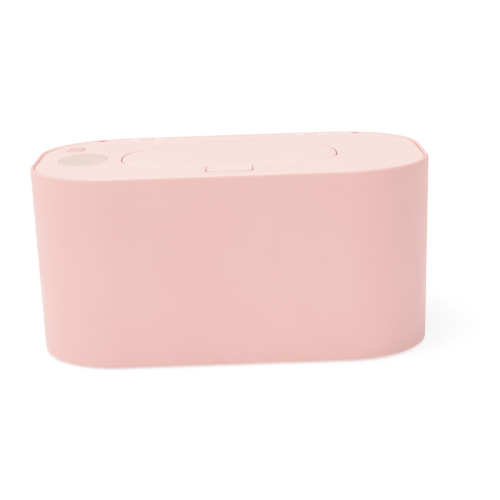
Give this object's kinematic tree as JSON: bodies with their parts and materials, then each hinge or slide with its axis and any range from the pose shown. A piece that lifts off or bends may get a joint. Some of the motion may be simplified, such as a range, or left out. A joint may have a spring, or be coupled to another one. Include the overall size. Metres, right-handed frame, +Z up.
{
  "type": "baby wipe warmer",
  "caption": "Rounded pink box that warms wipes, with a hinged top cover, an oval flip lid held by a press latch, a display window and a heated tank.",
  "frame": {"origin": "middle of the bounding box's bottom face, on the table under the middle of the body", "axes": "+X to the right seen from the front, +Y to the back where the cover hinges, +Z up"},
  "size_m": [0.2, 0.12, 0.0955],
  "materials": {
    "pink_shell": "pale pink, fine satin grain",
    "pink_deck": "the same pale pink, lit from above",
    "deep_pink": "deeper pink, smooth",
    "window_grey": "pale grey tinted lens",
    "white_plastic": "smooth white",
    "silicone": "soft translucent white",
    "dark_rubber": "dark grey",
    "steel": "zinc plated",
    "board_green": "green solder mask",
    "black_plastic": "moulded black",
    "foam": "white felt",
    "heater_film": "amber film",
    "red_wire": "red sleeve"
  },
  "bodies": {
    "housing": {"outer_shell": "pink_shell", "base_plate": "pink_shell", "foot_1": "dark_rubber", "foot_2": "dark_rubber", "foot_3": "dark_rubber", "foot_4": "dark_rubber", "base_screw_1": "steel", "base_screw_2": "steel", "base_screw_3": "steel", "base_screw_4": "steel", "inner_tank": "white_plastic", "heater_pad": "heater_film", "insulation_pad": "foam", "thermal_fuse": "steel", "thermistor": "black_plastic", "control_board": "board_green", "board_screw_1": "steel", "board_screw_2": "steel", "board_screw_3": "steel", "board_screw_4": "steel", "control_chip": "black_plastic", "capacitor": "steel", "lead_connector": "white_plastic", "heater_lead_left": "red_wire", "heater_lead_right": "black_plastic", "power_socket": "steel", "cover_pin_left": "steel", "cover_pin_right": "steel"},
    "cover": {"top_cover": "pink_deck", "cover_lining": "white_plastic", "lining_screw_1": "steel", "lining_screw_2": "steel", "lining_screw_3": "steel", "lining_screw_4": "steel", "tank_seal": "silicone", "display_window": "window_grey", "display_board": "board_green", "digit_module": "black_plastic", "tact_switch": "black_plastic", "lid_pin": "steel", "latch_spring": "steel"},
    "lid": {"flip_lid": "pink_deck", "lid_gasket": "silicone"},
    "latch": {"latch_button": "pink_deck"},
    "key": {"power_key": "deep_pink"}
  },
  "joints": [
    {"name": "cover_hinge", "type": "hinge", "parent": "housing", "child": "cover", "pos_m": [0, 0.055, 0.094], "axis": [-1, 0, 0], "range_deg": [0, 92]},
    {"name": "lid_hinge", "type": "hinge", "parent": "cover", "child": "lid", "pos_m": [0, 0.0386, 0.0935], "axis": [-1, 0, 0], "range_deg": [0, 100]},
    {"name": "latch_press", "type": "slide", "parent": "cover", "child": "latch", "axis": [0, 0, -1], "range_m": [0, 0.0014], "stiffness_N_per_m": 1500, "springref_m": -0.001, "deforming": ["latch_spring"]},
    {"name": "power_key_press", "type": "slide", "parent": "cover", "child": "key", "axis": [0, 0, -1], "range_m": [0, 0.0005], "stiffness_N_per_m": 3000, "springref_m": -0.0005}
  ]
}
